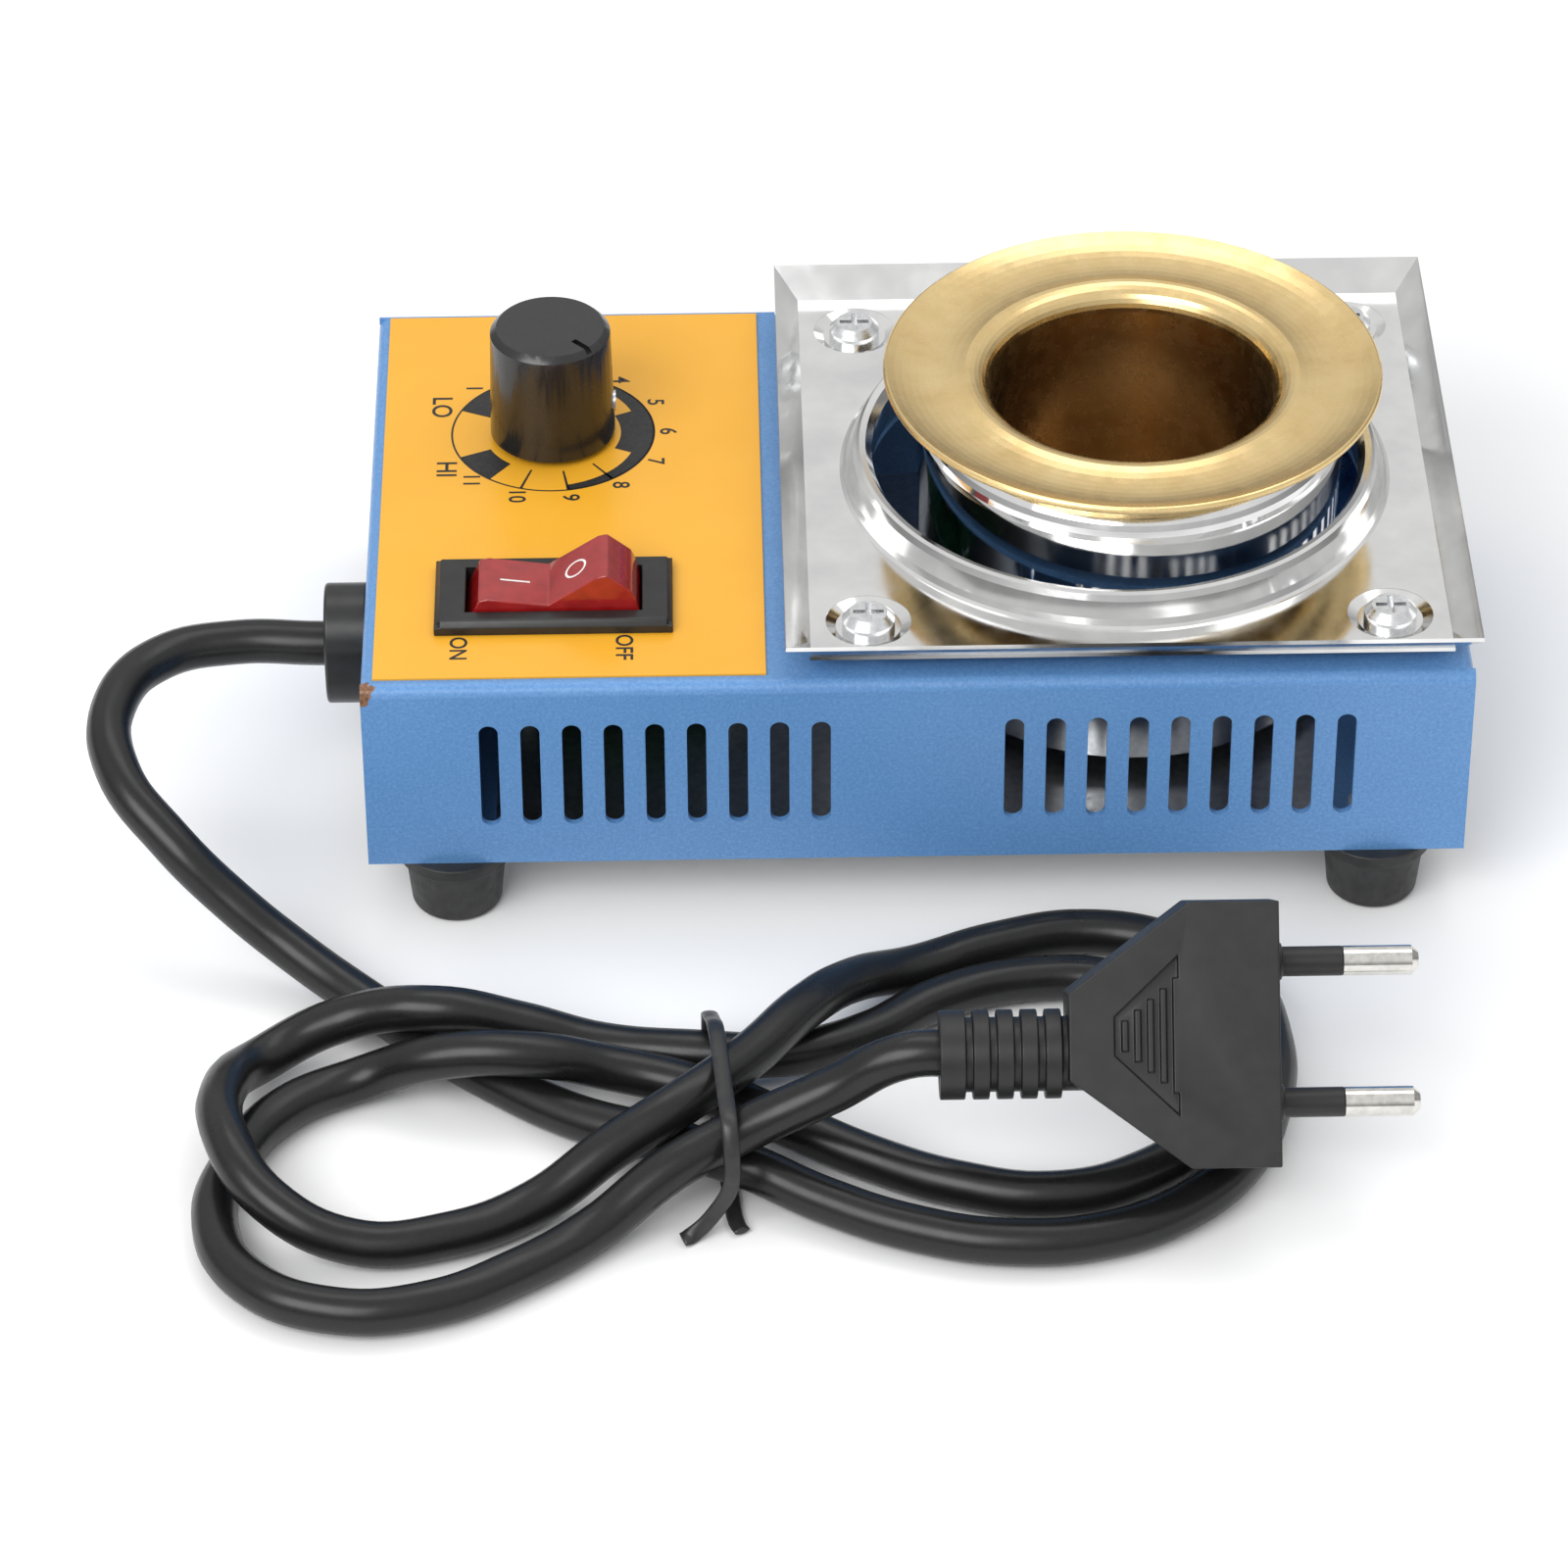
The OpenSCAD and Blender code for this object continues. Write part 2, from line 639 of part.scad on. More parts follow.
module control_body() {
  color("#6f7477") on_deck() translate([-knob_x, knob_y, 0]) difference() {
    union() {
      translate([0, 0, -sheet - control_h]) cylinder(r = control_r, h = control_h);
      translate([0, 0, -sheet - eps]) cylinder(r = bush_r, h = sheet + bush_z);
      for (x = [-5, 0, 5]) translate([x - 0.8, -control_r - 4, -sheet - 5]) cube([1.6, 6, 0.8]);
    }
    translate([0, 0, -sheet - control_h + 2.9]) cylinder(r = shaft_r + fit, h = 30);
  }
}

module control_nut() {
  color("silver") on_deck() translate([-knob_x, knob_y, label_t]) hex_nut(5.7, bush_r + fit, 2);
}

module at_switch() {
  on_deck() translate([-switch_x, -switch_y, 0]) children();
}

module switch_body() {
  body_l = opening_l + 2 * switch_wall;
  body_w = opening_w + 2 * switch_wall;
  edge = 0.8;
  color("#222222") at_switch() difference() {
    union() {
      translate([0, 0, label_t]) {
        linear_extrude(height = bezel_h - edge) square([bezel_l, bezel_w], center = true);
        translate([-bezel_l / 2 + edge, -bezel_w / 2 + edge, 0])
          cube([bezel_l - 2 * edge, bezel_w - 2 * edge, bezel_h]);
        bezel_slopes(edge);
      }
      translate([-body_l / 2, -body_w / 2, -switch_depth]) cube([body_l, body_w, switch_depth + 1]);
    }
    translate([-opening_l / 2, -opening_w / 2, -9]) cube([opening_l, opening_w, 20]);
    rotate([90, 0, 0]) translate([0, 0, -opening_w / 2 - 1.1])
      cylinder(r = stud_r + fit, h = opening_w + 2.2);
    for (x = [-9, 0, 9]) translate([x, 0, -switch_depth - 1]) cube([0.9, 4.9, 8], center = true);
  }
}

// Bevels round the top of the switch frame
module bezel_slopes(edge) {
  z = bezel_h - edge;
  for (s = [-1, 1]) {
    translate([-bezel_l / 2 + edge, s * bezel_w / 2, z]) rotate([90, 0, 90])
      linear_extrude(height = bezel_l - 2 * edge) polygon([[0, 0], [-s * edge, edge], [-s * edge, 0]]);
    translate([s * bezel_l / 2, bezel_w / 2 - edge, z]) rotate([90, 0, 0])
      linear_extrude(height = bezel_w - 2 * edge) polygon([[0, 0], [-s * edge, edge], [-s * edge, 0]]);
  }
}

// The rocker rests with its left end pressed in
module rocker() {
  color("#c01818") at_switch() rotate([0, -rocker_tilt, 0]) {
    rotate([90, 0, 0]) linear_extrude(height = rocker_w, center = true) intersection() {
      circle(r = rocker_r, $fn = 128);
      polygon([
        [-rocker_r, rocker_lip], [-0.76 * rocker_r, rocker_ridge], [-0.65 * rocker_r, rocker_ridge],
        [0, rocker_dip], [0.65 * rocker_r, rocker_ridge], [0.76 * rocker_r, rocker_ridge],
        [rocker_r, rocker_lip], [rocker_r + 1, -rocker_base], [-rocker_r - 1, -rocker_base]
      ]);
    }
    rotate([90, 0, 0]) cylinder(r = stud_r, h = opening_w + 2, center = true);
  }
}

module switch_terminals() {
  color("goldenrod") at_switch() for (x = [-9, 0, 9])
    translate([x, 0, -switch_depth - 1.25]) cube([0.8, 4.8, 7.5], center = true);
}

module control_board() {
  color("darkgreen") on_deck() translate([board_x, board_y, board_z]) difference() {
    translate([-board_l / 2, -board_w / 2, 0]) cube([board_l, board_w, board_t]);
    at_corners(board_l / 2 - 4, board_w / 2 - 4) translate([0, 0, -1]) cylinder(r = 1.6, h = 4);
  }
}

module board_pillars() {
  color("silver") on_deck() translate([board_x, board_y, plate_top])
    at_corners(board_l / 2 - 4, board_w / 2 - 4) ring(2.8, 1.3, pillar_h);
}

module board_screws() {
  color("silver") on_deck() translate([board_x, board_y, board_z + board_t])
    at_corners(board_l / 2 - 4, board_w / 2 - 4) {
      cylinder(r = 2.6, h = 1.6);
      translate([0, 0, -5]) cylinder(r = 1.25, h = 5 + eps);
    }
}

module triac() {
  color("#202020") on_deck() translate([board_x - 8, board_y + board_w / 2 - 7.6 - triac_t, board_z + board_t]) {
    translate([0, 0, 2.5]) cube([10, triac_t, 8]);
    for (x = [1.6, 4.4, 7.2]) translate([x, 1.8, 0]) cube([1.0, 0.8, 2.5 + eps]);
  }
}

module heatsink() {
  color("silver") on_deck() translate([board_x - 10.5, board_y + board_w / 2 - 7.6 + eps, board_z + board_t]) {
    difference() {
      cube([15, 6.4, 11]);
      for (x = [1.6:3.2:12]) translate([x, 1.6, -1]) cube([1.8, 6, 13]);
    }
  }
}

module capacitor() {
  color("#8a3b1c") on_deck() translate([board_x + 4, board_y - 6, board_z + board_t])
    cube([6, 15, 9]);
}

module terminal_block() {
  color("seagreen") on_deck() translate([board_x - 10, board_y - board_w / 2 + 1, board_z + board_t]) difference() {
    cube([20, 9, 8]);
    for (x = [5, 15]) {
      translate([x, 4.5, 5]) cylinder(r = 1.8, h = 5);
      translate([x, -1, 3]) rotate([-90, 0, 0]) cylinder(r = 1.7, h = 5);
    }
  }
}

module cord_gland() {
  wall = -housing_w / 2 + frame_x;
  r = gland_w / 2;
  color("#202124") translate([wall, gland_y, gland_z]) rotate([0, -90, 0]) difference() {
    union() {
      linear_extrude(height = gland_out) {
        translate([(gland_h - gland_w) / 2, 0]) circle(r = r);
        translate([-(gland_h - gland_w) / 2, 0]) circle(r = r);
        square([gland_h - gland_w, gland_w], center = true);
      }
      translate([0, 0, -sheet - 4.5]) cylinder(r = gland_neck_r, h = sheet + 4.5 + eps);
      translate([0, 0, -sheet - 4]) cylinder(r1 = gland_neck_r, r2 = gland_neck_r + 1.2, h = 3.7);
    }
    translate([0, 0, -10]) cylinder(r = cord_d / 2 + fit, h = gland_out + 20);
  }
}

// Tube swept along a list of points, with its ends cut square to the first and last stretch
function unit(v) = v / norm(v);
function heading(p, i) = unit(p[min(i + 1, len(p) - 1)] - p[max(i - 1, 0)]);
function sideways(p, i, ref) = unit(cross(heading(p, i), ref));

module tube(p, r, sides) {
  ref = [0, 0, 1];
  points = [for (i = [0:len(p) - 1])
    let (h = heading(p, i), s = sideways(p, i, ref), u = cross(s, h))
      for (k = [0:sides - 1]) let (a = 360 * k / sides) p[i] + r * (cos(a) * s + sin(a) * u)];
  last = (len(p) - 1) * sides;
  polyhedron(points = points, faces = concat(
    [[for (k = [0:sides - 1]) k]],
    [[for (k = [sides - 1:-1:0]) last + k]],
    [for (i = [0:len(p) - 2], k = [0:sides - 1])
      let (a = i * sides + k, b = i * sides + (k + 1) % sides)
        [a, a + sides, b + sides, b]]));
}

module power_cord() {
  color("#1b1c1f") tube(cord_points, cord_d / 2, 10);
}

module cord_tie() {
  color("#222326") tube(tie_points, tie_r, 8);
}

module at_plug() {
  translate([plug_x, plug_y, plug_z]) rotate([plug_tilt, 0, 0]) children();
}

module plug_body() {
  half = plug_w / 2;
  color("#26272a") at_plug() difference() {
    union() {
      translate([0, 0, -plug_t / 2]) linear_extrude(height = plug_t) polygon([
        [flare_x, -5.8], [shoulder_x, -half], [face_x, -half], [face_x, half],
        [shoulder_x, half], [flare_x, 5.8]
      ]);
      translate([0, -grip_drop, 0]) rotate([0, 90, 0]) {
        cylinder(r = grip_r, h = 3.4);
        for (x = [4.4:3.2:14]) translate([0, 0, x]) cylinder(r = grip_r, h = 2.2);
        cylinder(r = grip_r - 1, h = flare_x + 6);
      }
      for (s = [-1, 1]) translate([face_x - eps, s * pin_gap / 2, 0]) rotate([0, 90, 0]) {
        cylinder(r = 2.5, h = 0.8);
        cylinder(r = pin_r, h = sleeve_l);
      }
    }
    // socket for the lead, and the pins' bores
    translate([-1, -grip_drop, 0]) rotate([0, 90, 0]) cylinder(r = cord_d / 2 + fit, h = 6);
    for (s = [-1, 1]) translate([face_x - 6, s * pin_gap / 2, 0]) rotate([0, 90, 0])
      cylinder(r = pin_r - 0.45, h = 30);
    // grip recess on both broad faces, ribs standing in it
    for (s = [-1, 1]) difference() {
      translate([0, 0, s * plug_t / 2]) linear_extrude(height = 1.6, center = true) polygon([
        [shoulder_x - 10, -2.6], [shoulder_x - 10, 2.6], [shoulder_x - 1.5, 10.6],
        [shoulder_x - 1.5, -10.6]
      ]);
      for (i = [0:4]) translate([shoulder_x - 8.6 + i * 1.7, 0, s * plug_t / 2])
        cube([0.8, 4 + i * 2.8, 3], center = true);
    }
  }
}

module plug_pin(s) {
  color("silver") at_plug() translate([0, s * pin_gap / 2, 0]) rotate([0, 90, 0]) {
    translate([0, 0, face_x - 5]) cylinder(r = pin_r - 0.5, h = sleeve_l + 5 + eps);
    translate([0, 0, face_x + sleeve_l]) {
      cylinder(r = pin_r, h = pin_l - sleeve_l - 0.9);
      translate([0, 0, pin_l - sleeve_l - 0.9]) cylinder(r1 = pin_r, r2 = pin_r * 0.6, h = 0.9);
    }
  }
}

housing();
base_plate();
foot(-1, -1);  // foot_1
foot(1, -1);  // foot_2
foot(-1, 1);  // foot_3
foot(1, 1);  // foot_4
foot_screws();
foot_nuts();
label_plate();
drip_tray();
tray_spacers();
tray_screws();
tray_nuts();
solder_pot();
heater_band();
band_screw();
insulation_sleeve();
insulation_pad();
can();
can_spacer();
can_bolt();
can_nut();
knob();
knob_set_screw();
control_shaft();
control_body();
control_nut();
switch_body();
rocker();
switch_terminals();
control_board();
board_pillars();
board_screws();
triac();
heatsink();
capacitor();
terminal_block();
cord_gland();
power_cord();
plug_body();
plug_pin(-1);  // plug_pin_1
plug_pin(1);  // plug_pin_2
cord_tie();
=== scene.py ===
"""Looks of the bench solder pot: camera, mains lead, finishes, printed label, light and floor."""

import json
import math

import bmesh
import bpy
from mathutils import Matrix, Vector


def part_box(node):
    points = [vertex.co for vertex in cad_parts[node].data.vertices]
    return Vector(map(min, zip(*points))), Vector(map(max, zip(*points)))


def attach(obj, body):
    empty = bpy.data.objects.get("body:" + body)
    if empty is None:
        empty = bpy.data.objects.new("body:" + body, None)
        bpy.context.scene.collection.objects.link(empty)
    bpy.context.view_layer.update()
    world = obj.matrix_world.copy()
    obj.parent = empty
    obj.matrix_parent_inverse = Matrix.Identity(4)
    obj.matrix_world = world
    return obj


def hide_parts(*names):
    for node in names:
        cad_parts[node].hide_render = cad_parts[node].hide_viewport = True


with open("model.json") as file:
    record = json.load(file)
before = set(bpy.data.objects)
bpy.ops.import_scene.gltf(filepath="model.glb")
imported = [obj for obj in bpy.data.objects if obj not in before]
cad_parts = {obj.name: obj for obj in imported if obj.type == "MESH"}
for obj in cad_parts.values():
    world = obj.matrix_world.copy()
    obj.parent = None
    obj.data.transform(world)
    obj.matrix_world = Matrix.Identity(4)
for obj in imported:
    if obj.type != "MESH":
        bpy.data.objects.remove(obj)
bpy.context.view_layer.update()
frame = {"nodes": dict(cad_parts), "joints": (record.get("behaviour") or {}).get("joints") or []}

MM = 0.001
NODES = frame["nodes"]
PAINTED = set()          # nodes that have their final material


def top_of(node):
    """Height of the node's highest point."""
    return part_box(node)[1].z


# ---------------------------------------------------------------- camera

EYE = Vector((-30.58, -773.19, 583.10)) * MM
LENS = 150.06            # on a 36 mm sensor
ELEVATION, YAW, ROLL = (math.radians(a) for a in (37.608, 0.910, -0.278))


def make_camera():
    aim = Vector((math.sin(YAW) * math.cos(ELEVATION),
                  math.cos(YAW) * math.cos(ELEVATION), -math.sin(ELEVATION)))
    level = aim.cross(Vector((0, 0, 1))).normalized()
    over = level.cross(aim)
    right = math.cos(ROLL) * level + math.sin(ROLL) * over
    up = math.cos(ROLL) * over - math.sin(ROLL) * level
    data = bpy.data.cameras.new("camera")
    data.lens, data.sensor_width = LENS, 36
    data.clip_start, data.clip_end = 0.05, 20
    camera = bpy.data.objects.new("camera", data)
    bpy.context.scene.collection.objects.link(camera)
    camera.matrix_world = Matrix.Translation(EYE) @ Matrix((right, up, -aim)).transposed().to_4x4()
    bpy.context.scene.camera = camera


# ---------------------------------------------------------------- materials

class Finish:
    """A Principled material, with short calls for the nodes that vary it."""

    def __init__(self, name, **sockets):
        self.material = bpy.data.materials.new(name)
        self.material.use_nodes = True
        self.tree = self.material.node_tree
        self.shader = self.tree.nodes["Principled BSDF"]
        self.place = self.node("ShaderNodeTexCoord").outputs["Object"]
        self.height = None
        for socket, value in sockets.items():
            self.shader.inputs[socket.replace("_", " ")].default_value = value

    def node(self, kind, **fields):
        made = self.tree.nodes.new(kind)
        for field, value in fields.items():
            setattr(made, field, value)
        return made

    def link(self, out, into):
        self.tree.links.new(out, into)

    def stretch(self, scale):
        """The object's own coordinates, stretched along its axes."""
        mapping = self.node("ShaderNodeMapping")
        mapping.inputs["Scale"].default_value = scale
        self.link(self.place, mapping.inputs["Vector"])
        return mapping.outputs["Vector"]

    def noise(self, size, detail=3.0, roughness=0.55, place=None):
        """Noise from 0 to 1 whose blotches are about size metres across."""
        made = self.node("ShaderNodeTexNoise")
        made.inputs["Scale"].default_value = 1.0 / size
        made.inputs["Detail"].default_value = detail
        made.inputs["Roughness"].default_value = roughness
        self.link(place or self.place, made.inputs["Vector"])
        return made.outputs["Fac"]

    def ramp(self, fac, stops):
        """Colours or greys at places from 0 to 1."""
        made = self.node("ShaderNodeValToRGB")
        band = made.color_ramp
        while len(band.elements) < len(stops):
            band.elements.new(0.5)
        for element, (at, value) in zip(band.elements, stops):
            element.position = at
            element.color = (value, value, value, 1) if isinstance(value, (int, float)) else (*value, 1)
        self.link(fac, made.inputs["Fac"])
        return made.outputs["Color"]

    def mix(self, fac, a, b):
        made = self.node("ShaderNodeMix", data_type="RGBA")
        for value, socket in ((fac, made.inputs[0]), (a, made.inputs[6]), (b, made.inputs[7])):
            if isinstance(value, bpy.types.NodeSocket):
                self.link(value, socket)
            elif isinstance(value, (int, float)):
                socket.default_value = value
            else:
                socket.default_value = (*value, 1)
        return made.outputs[2]

    def near(self, centre, radius, ragged=0.0, grain=0.001):
        """1 inside a ball round centre, 0 outside, with a ragged edge."""
        apart = self.node("ShaderNodeVectorMath", operation="DISTANCE")
        self.link(self.place, apart.inputs[0])
        apart.inputs[1].default_value = centre
        wobble = self.node("ShaderNodeMath", operation="MULTIPLY_ADD")
        self.link(self.noise(grain, 4), wobble.inputs[0])
        wobble.inputs[1].default_value = ragged
        self.link(apart.outputs["Value"], wobble.inputs[2])
        edge = self.node("ShaderNodeMapRange")
        self.link(wobble.outputs[0], edge.inputs["Value"])
        edge.inputs["From Min"].default_value = radius * 1.05
        edge.inputs["From Max"].default_value = radius * 0.95
        return edge.outputs["Result"]

    def below(self, z, soft):
        """1 below the height z, 0 above it, over a soft step."""
        split = self.node("ShaderNodeSeparateXYZ")
        self.link(self.place, split.inputs[0])
        step = self.node("ShaderNodeMapRange")
        self.link(split.outputs["Z"], step.inputs["Value"])
        step.inputs["From Min"].default_value = z + soft
        step.inputs["From Max"].default_value = z - soft
        return step.outputs["Result"]

    def colour(self, out):
        self.link(out, self.shader.inputs["Base Color"])
        return self

    def rough(self, low, high, size, place=None):
        self.link(self.ramp(self.noise(size, 4, place=place), [(0.3, low), (0.7, high)]),
                  self.shader.inputs["Roughness"])
        return self

    def bump(self, fac, depth, strength=1.0):
        made = self.node("ShaderNodeBump")
        made.inputs["Strength"].default_value = strength
        made.inputs["Distance"].default_value = depth
        self.link(fac, made.inputs["Height"])
        if self.height is not None:
            self.link(self.height, made.inputs["Normal"])
        self.height = made.outputs["Normal"]
        self.link(self.height, self.shader.inputs["Normal"])
        return self


def powder_coat():
    """Blue powder coat: fine speckle, orange-peel skin and one rusty chip at a corner."""
    f = Finish("powder_coat", Specular_IOR_Level=0.45, Coat_Weight=0.15, Coat_Roughness=0.25)
    blue = f.ramp(f.noise(0.45 * MM, 2, 0.7),
                  [(0.30, (0.080, 0.215, 0.470)), (0.52, (0.112, 0.275, 0.560)),
                   (0.72, (0.165, 0.345, 0.640))])
    cloud = f.ramp(f.noise(22 * MM, 2), [(0.3, (0.100, 0.250, 0.525)), (0.7, (0.125, 0.290, 0.575))])
    skin = f.mix(0.35, blue, cloud)
    low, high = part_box("housing")
    corner = (low.x + 0.2 * MM, low.y + 0.3 * MM, high.z - 0.6 * MM)
    rust = f.ramp(f.noise(0.5 * MM, 5, 0.7),
                  [(0.3, (0.045, 0.028, 0.020)), (0.5, (0.200, 0.085, 0.035)), (0.7, (0.330, 0.200, 0.110))])
    f.colour(f.mix(f.near(corner, 3.4 * MM, 3.2 * MM, 1.4 * MM), skin, rust))
    f.rough(0.30, 0.46, 0.7 * MM)
    f.bump(f.noise(0.55 * MM, 2), 0.05 * MM, 0.55)
    return f.bump(f.noise(2.2 * MM, 2), 0.06 * MM, 0.35)


def printed_yellow():
    """Satin yellow film, slightly uneven, with a fine speckle."""
    f = Finish("printed_yellow", Specular_IOR_Level=0.4, Coat_Weight=0.25, Coat_Roughness=0.2)
    tone = f.ramp(f.noise(18 * MM, 2), [(0.3, (0.800, 0.385, 0.018)), (0.7, (0.850, 0.420, 0.026))])
    dust = f.ramp(f.noise(0.25 * MM, 2, 0.8), [(0.35, (0.760, 0.360, 0.018)), (0.65, (0.880, 0.460, 0.045))])
    f.colour(f.mix(0.25, tone, dust))
    f.rough(0.30, 0.45, 5 * MM)
    return f.bump(f.noise(0.4 * MM, 2), 0.02 * MM, 0.3)


def ink():
    """Black screen print."""
    f = Finish("black_ink", Specular_IOR_Level=0.35)
    f.colour(f.ramp(f.noise(0.3 * MM, 2), [(0.3, 0.014), (0.7, 0.032)]))
    return f.rough(0.40, 0.55, 1 * MM)


def white_ink():
    """White print on the rocker."""
    f = Finish("white_ink", Specular_IOR_Level=0.35)
    f.colour(f.ramp(f.noise(0.3 * MM, 2), [(0.3, (0.80, 0.76, 0.74)), (0.7, (0.90, 0.88, 0.86))]))
    return f.rough(0.35, 0.5, 1 * MM)


def polished_sheet():
    """Bright stainless sheet: faint rolling lines, smears and a slight waviness."""
    f = Finish("polished_sheet", Metallic=1.0)
    rolled = f.noise(0.12 * MM, 2, place=f.stretch((1, 0.03, 1)))
    f.colour(f.ramp(f.noise(9 * MM, 3), [(0.3, (0.70, 0.70, 0.70)), (0.7, (0.82, 0.82, 0.81))]))
    f.rough(0.07, 0.17, 7 * MM)
    f.bump(rolled, 0.003 * MM, 0.35)
    return f.bump(f.noise(14 * MM, 1), 0.10 * MM, 0.30)


def mirror_can():
    """Deep-drawn can, polished round: fine turning lines that run about its axis."""
    f = Finish("mirror_can", Metallic=1.0)
    f.colour(f.ramp(f.noise(6 * MM, 3), [(0.3, (0.74, 0.74, 0.74)), (0.7, (0.84, 0.84, 0.84))]))
    f.rough(0.04, 0.10, 5 * MM)
    return f.bump(f.noise(0.3 * MM, 2, place=f.stretch((0.03, 0.03, 1))), 0.003 * MM, 0.3)


def gold_pot():
    """Brass: satin gold rim with faint flecks, and a darker brown over everything from a little below the rim
    down, the inside of the bowl too.
    """
    tint_start, tint_fade = 6 * MM, 3 * MM       # where the brown begins below the rim, and over what height
    f = Finish("gold_pot", Metallic=1.0)
    rim = f.ramp(f.noise(7 * MM, 5, 0.65),
                 [(0.28, (0.68, 0.49, 0.22)), (0.45, (0.77, 0.57, 0.27)), (0.75, (0.84, 0.65, 0.34))])
    fleck = f.ramp(f.noise(0.5 * MM, 3, 0.75), [(0.30, (0.50, 0.33, 0.13)), (0.42, (0.80, 0.60, 0.30))])
    warm = f.mix(0.12, rim, fleck)
    bowl = f.ramp(f.noise(5 * MM, 4), [(0.3, (0.43, 0.315, 0.18)), (0.7, (0.50, 0.37, 0.22))])
    # darker brown below a height a little under the rim, gold above it
    f.colour(f.mix(f.below(top_of("solder_pot") - tint_start, tint_fade), warm, bowl))
    f.rough(0.20, 0.32, 2.5 * MM)
    f.bump(f.noise(0.7 * MM, 4, 0.7), 0.02 * MM, 0.25)
    return f.bump(f.noise(0.15 * MM, 2, place=f.stretch((0.05, 0.05, 1))), 0.008 * MM, 0.3)


def bright_plate(name="bright_plate", tint=(0.78, 0.79, 0.80), roughness=(0.16, 0.30)):
    """Zinc or nickel plating with small dull spots."""
    f = Finish(name, Metallic=1.0)
    dulled = 0.82
    dull = tuple(c * dulled for c in tint)
    f.colour(f.ramp(f.noise(1.2 * MM, 4), [(0.32, dull), (0.62, tint)]))
    f.rough(*roughness, 0.9 * MM)
    return f.bump(f.noise(0.35 * MM, 3), 0.012 * MM, 0.5)


def moulded(name, dark, light, roughness, grain, coat=0.0):
    """Moulded plastic or rubber: two close tones, fine spark-eroded grain."""
    f = Finish(name, Specular_IOR_Level=0.5, Coat_Weight=coat, Coat_Roughness=0.12)
    f.colour(f.ramp(f.noise(3 * MM, 4), [(0.3, dark), (0.7, light)]))
    f.rough(*roughness, 1.6 * MM)
    return f.bump(f.noise(grain, 2), 0.02 * MM, 0.35)


def red_lens():
    """Clear red rocker: tinted body with a darker cloud and faint prisms."""
    f = Finish("red_lens", Specular_IOR_Level=0.5, Transmission_Weight=0.35, IOR=1.49,
               Coat_Weight=0.5, Coat_Roughness=0.06)
    f.colour(f.ramp(f.noise(2.4 * MM, 3), [(0.3, (0.38, 0.008, 0.010)), (0.7, (0.52, 0.018, 0.018))]))
    f.rough(0.10, 0.20, 1.2 * MM)
    return f.bump(f.noise(0.5 * MM, 1, place=f.stretch((1, 0.2, 1))), 0.02 * MM, 0.4)


def lead_sheath():
    """Satin black sheath, slightly uneven, with a little dust."""
    f = Finish("lead_sheath", Specular_IOR_Level=0.4)
    f.colour(f.ramp(f.noise(0.6 * MM, 5, 0.75), [(0.30, 0.007), (0.62, 0.011), (0.80, 0.022)]))
    f.rough(0.26, 0.34, 4 * MM)
    return f.bump(f.noise(2.0 * MM, 3), 0.04 * MM, 0.35)


def fibre():
    """Coarse off-white insulation."""
    f = Finish("fibre_board", Specular_IOR_Level=0.2)
    f.colour(f.ramp(f.noise(1.5 * MM, 5, 0.7), [(0.3, (0.62, 0.58, 0.50)), (0.7, (0.82, 0.79, 0.72))]))
    f.rough(0.80, 0.95, 2 * MM)
    return f.bump(f.noise(0.6 * MM, 4), 0.10 * MM, 0.7)


def board_finish():
    """Green lacquered circuit board."""
    f = Finish("circuit_board", Specular_IOR_Level=0.5)
    f.colour(f.ramp(f.noise(2.5 * MM, 2), [(0.45, (0.015, 0.110, 0.045)), (0.55, (0.030, 0.190, 0.080))]))
    f.rough(0.25, 0.40, 1 * MM)
    return f.bump(f.noise(2.5 * MM, 1), 0.03 * MM, 0.4)


def paint(finish, *names):
    """Gives the finish to CAD nodes."""
    for name in names:
        data = NODES[name].data
        data.materials.clear()
        data.materials.append(finish.material)
        PAINTED.add(name)


# ---------------------------------------------------------------- new pieces

WELD = 1e-6              # metres: vertices this close are one
FLAT = math.radians(1)   # faces that meet at less than this are one


def add_piece(name, mesh, finish, body="base", smooth=False):
    """A new visible piece with one finish, which moves with the body."""
    piece = bpy.data.objects.new(name, mesh)
    bpy.context.scene.collection.objects.link(piece)
    mesh.materials.clear()
    mesh.materials.append(finish.material)
    if smooth:
        mesh.shade_smooth()
    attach(piece, body)
    return piece


def mesh_from(name, work):
    """The bmesh as a mesh; the bmesh is freed."""
    mesh = bpy.data.meshes.new(name)
    work.to_mesh(mesh)
    work.free()
    return mesh


def softened(node, finish, radius, body="base", segments=3, angle=30):
    """A copy of a CAD node with its hard edges rounded, shown in its place."""
    mesh = NODES[node].data.copy()
    mesh.name = node + "_soft"
    work = bmesh.new()
    work.from_mesh(mesh)
    bmesh.ops.remove_doubles(work, verts=work.verts, dist=WELD)
    bmesh.ops.dissolve_limit(work, angle_limit=FLAT, verts=work.verts, edges=work.edges)
    work.to_mesh(mesh)
    work.free()
    piece = add_piece(node + "_soft", mesh, finish, body, smooth=True)
    bevel = piece.modifiers.new("round_edges", "BEVEL")
    bevel.width, bevel.segments = radius, segments
    bevel.limit_method, bevel.angle_limit = "ANGLE", math.radians(angle)
    bevel.harden_normals = True
    mesh.set_sharp_from_angle(angle=math.radians(angle))
    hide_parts(node)
    PAINTED.add(node)
    return piece


